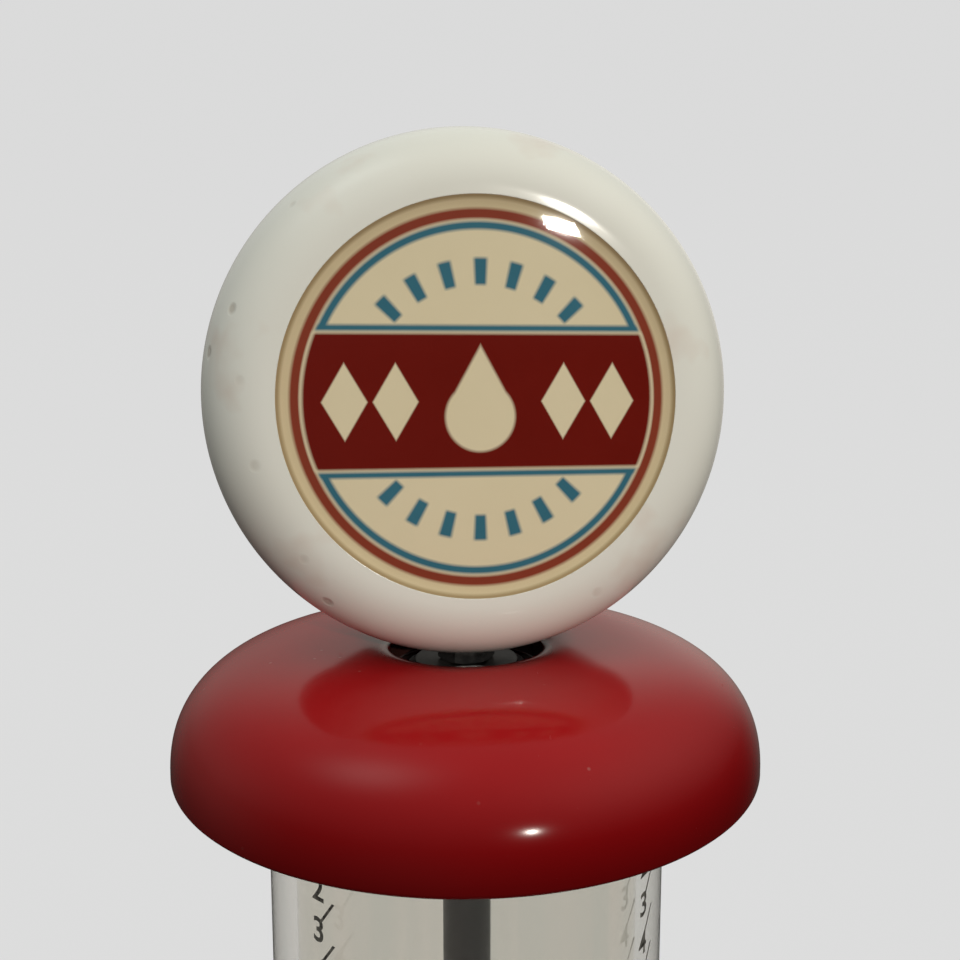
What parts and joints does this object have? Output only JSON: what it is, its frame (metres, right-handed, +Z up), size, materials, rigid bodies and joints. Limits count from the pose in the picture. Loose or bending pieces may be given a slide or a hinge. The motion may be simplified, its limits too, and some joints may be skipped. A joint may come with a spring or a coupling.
{
  "type": "tabletop gas pump fluid dispenser",
  "caption": "Tabletop visible gas pump: clear fluid cylinder between a red cap and a red column, round white globe on top, lever valve with a hose spigot in front.",
  "frame": {"origin": "centre of the base's underside, on the surface that the pump stands on", "axes": "+Z up along the tie rod, -Y towards the front, where the badge and the outlet valve face, +X to the right seen from the front"},
  "size_m": [0.14, 0.14, 0.4682],
  "materials": {
    "red_plastic": "glossy deep red moulding with fine scratches",
    "white_plastic": "glossy aged white moulding with small pits",
    "clear_acrylic": "clear, slightly yellowed acrylic tube with a worn printed scale",
    "clear_resin": "clear cast lens",
    "badge_print": "printed disc, cream, dark red and blue",
    "dark_steel": "dark mottled steel rod",
    "steel": "zinc-plated steel",
    "chrome": "polished plating",
    "brass": "machined brass",
    "rubber": "black rubber",
    "black_plastic": "matt black moulding",
    "nylon": "natural nylon"
  },
  "bodies": {
    "stand": {"base_pad": "rubber", "base_plate": "steel", "plate_screws": "steel", "base_shell": "red_plastic", "rod_nut": "steel", "rod_washer": "steel", "tie_rod": "dark_steel", "column": "red_plastic", "collar": "red_plastic", "lower_gasket": "rubber", "rod_seal": "rubber", "seal_nut": "chrome", "fluid_cylinder": "clear_acrylic", "drain_fitting": "brass", "drain_seal": "rubber", "drain_nut": "brass", "drain_pipe": "nylon", "drain_elbow": "brass", "saddle_gasket": "rubber", "inner_saddle": "nylon", "shank_nut": "brass", "valve_body": "chrome", "hose_spigot": "chrome"},
    "tap": {"valve_plug": "brass", "lever": "chrome", "lever_screw": "steel", "plug_washer": "steel", "plug_nut": "brass"},
    "cap": {"cap_shell": "red_plastic", "cap_liner": "black_plastic", "top_gasket": "rubber"},
    "washers": {"seal_washer": "rubber", "flange_washer": "dark_steel"},
    "globe": {"globe_body": "white_plastic", "badge_front": "badge_print", "lens_front": "clear_resin", "badge_rear": "badge_print", "lens_rear": "clear_resin", "globe_insert": "brass", "globe_stud": "steel", "jam_nut": "steel"}
  },
  "joints": [
    {"name": "tap_turn", "type": "hinge", "parent": "stand", "child": "tap", "pos_m": [0, -0.052, 0.172], "axis": [0, 0, -1], "range_deg": [0, 90]},
    {"name": "cap_lift", "type": "slide", "parent": "stand", "child": "cap", "axis": [0, 0, 1], "range_m": [0, 0.06]},
    {"name": "globe_rise", "type": "slide", "parent": "cap", "child": "washers", "axis": [0, 0, 1], "range_m": [0, 0.008]},
    {"name": "globe_turn", "type": "hinge", "parent": "washers", "child": "globe", "pos_m": [0, 0, 0.3685], "axis": [0, 0, 1], "range_deg": [0, 2880]}
  ],
  "couplings": [
    {"joint": "globe_rise", "follows": "globe_turn", "m_per_rad": 0.00015915}
  ]
}
